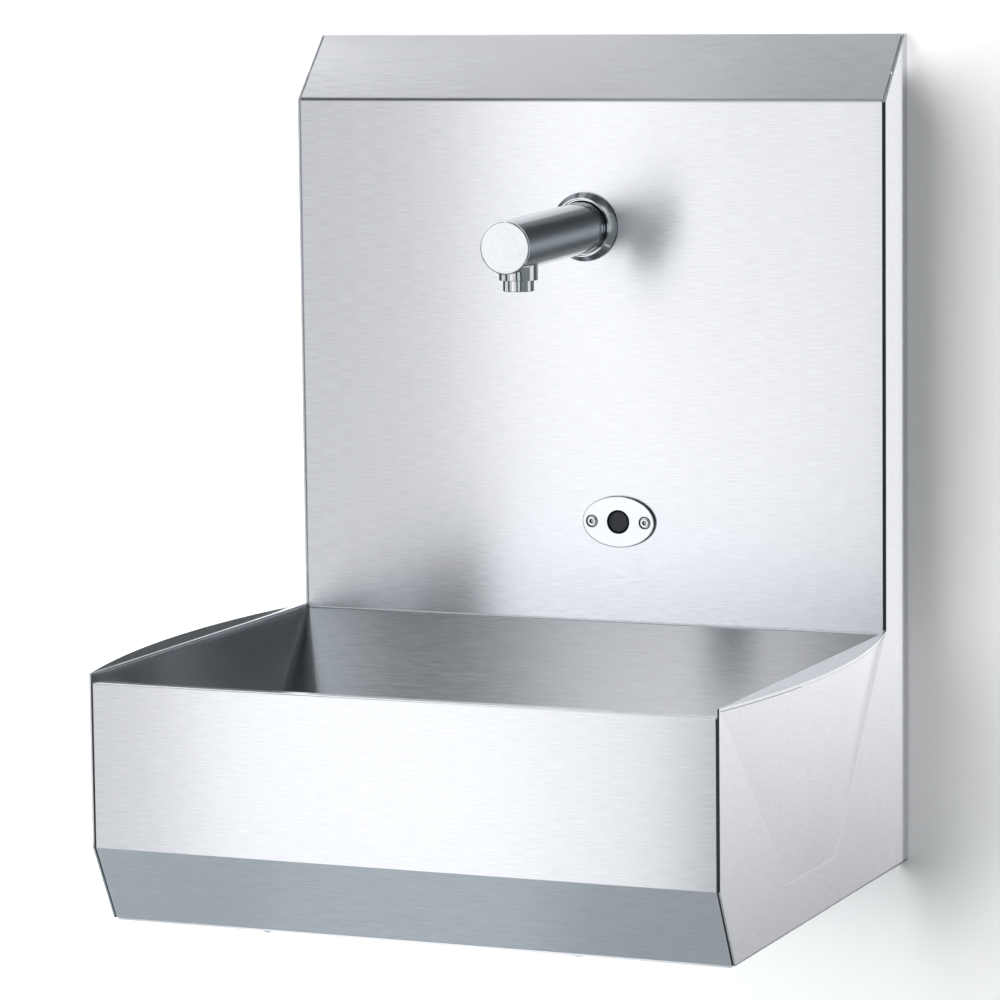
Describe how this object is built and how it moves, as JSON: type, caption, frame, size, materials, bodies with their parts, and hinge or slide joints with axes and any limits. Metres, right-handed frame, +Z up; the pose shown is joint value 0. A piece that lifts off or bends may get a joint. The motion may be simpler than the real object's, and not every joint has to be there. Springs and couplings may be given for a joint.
{
  "type": "hand basin",
  "caption": "Wall-hung stainless hand basin with a tall splashback housing, folded trough bowl, straight spout and infrared sensor plate.",
  "frame": {"origin": "centre of the four wall-fixing holes, on the wall plane", "axes": "+Y into the wall, +Z up, +X to the right seen from the front"},
  "size_m": [0.5428, 0.44, 0.681],
  "materials": {
    "sheet_steel": "fine brushed stainless sheet",
    "fastener_steel": "plain stainless fasteners",
    "satin_steel": "satin ground stainless",
    "bright_chrome": "bright plated",
    "brass_body": "machined brass",
    "plated_ball": "plated ball and stem",
    "tube_steel": "drawn stainless tube",
    "red_lever": "painted handle",
    "blue_lever": "painted handle",
    "seal_rubber": "soft black rubber",
    "insert_plastic": "moulded plastic",
    "window_dark": "dark infrared window",
    "grey_plastic": "moulded plastic",
    "black_plastic": "moulded plastic",
    "board_green": "lacquered board",
    "cell_wrap": "plain wrapped cells"
  },
  "bodies": {
    "housing": {"right_cheek": "sheet_steel", "left_cheek": "sheet_steel", "splashback": "sheet_steel", "bowl": "sheet_steel", "front_apron": "sheet_steel", "bottom_cover": "sheet_steel", "rear_rail": "sheet_steel", "panel_nuts": "fastener_steel", "cover_screws": "fastener_steel", "control_lid_screws": "fastener_steel", "coil_nut": "fastener_steel", "waste_screw": "fastener_steel", "sensor_screws": "fastener_steel", "spout_body": "satin_steel", "rosette": "satin_steel", "sensor_plate": "satin_steel", "waste_strainer": "satin_steel", "aerator_sleeve": "bright_chrome", "spout_elbow": "brass_body", "cold_stop_body": "brass_body", "hot_stop_body": "brass_body", "inlet_locknuts": "brass_body", "mixer_body": "brass_body", "mixer_bonnet": "brass_body", "solenoid_body": "brass_body", "tube_nuts": "brass_body", "spout_nut": "brass_body", "supply_tube": "tube_steel", "solenoid_core_tube": "tube_steel", "plunger_spring": "tube_steel", "spout_washer": "tube_steel", "spout_gasket": "seal_rubber", "aerator_seal": "seal_rubber", "sensor_gasket": "seal_rubber", "waste_upper_seal": "seal_rubber", "waste_lower_seal": "seal_rubber", "control_pad": "seal_rubber", "aerator_insert": "insert_plastic", "sensor_window": "window_dark", "sensor_housing": "grey_plastic", "control_box": "grey_plastic", "control_lid": "grey_plastic", "battery_holder": "grey_plastic", "solenoid_coil": "black_plastic", "waste_body": "black_plastic", "circuit_board": "board_green", "batteries": "cell_wrap"},
    "plunger_body": {"plunger": "tube_steel", "plunger_seal": "seal_rubber"},
    "mixer_control": {"mixer_plug": "brass_body", "mixer_knob": "grey_plastic"},
    "cold_control": {"cold_stop_ball": "plated_ball", "cold_lever": "blue_lever"},
    "hot_control": {"hot_stop_ball": "plated_ball", "hot_lever": "red_lever"}
  },
  "joints": [
    {"name": "plunger_slide", "type": "slide", "parent": "housing", "child": "plunger_body", "axis": [0, 0, 1], "range_m": [0, 0.0025], "stiffness_N_per_m": 400, "springref_m": -0.003, "deforming": ["plunger_spring"]},
    {"name": "temperature_turn", "type": "hinge", "parent": "housing", "child": "mixer_control", "pos_m": [0, -0.0635, -0.28], "axis": [0, 0, -1], "range_deg": [-90, 90]},
    {"name": "cold_lever_turn", "type": "hinge", "parent": "housing", "child": "cold_control", "pos_m": [0.04, -0.0345, -0.28], "axis": [0, 0, 1], "range_deg": [0, 90]},
    {"name": "hot_lever_turn", "type": "hinge", "parent": "housing", "child": "hot_control", "pos_m": [-0.04, -0.0345, -0.28], "axis": [0, 0, -1], "range_deg": [0, 90]}
  ]
}
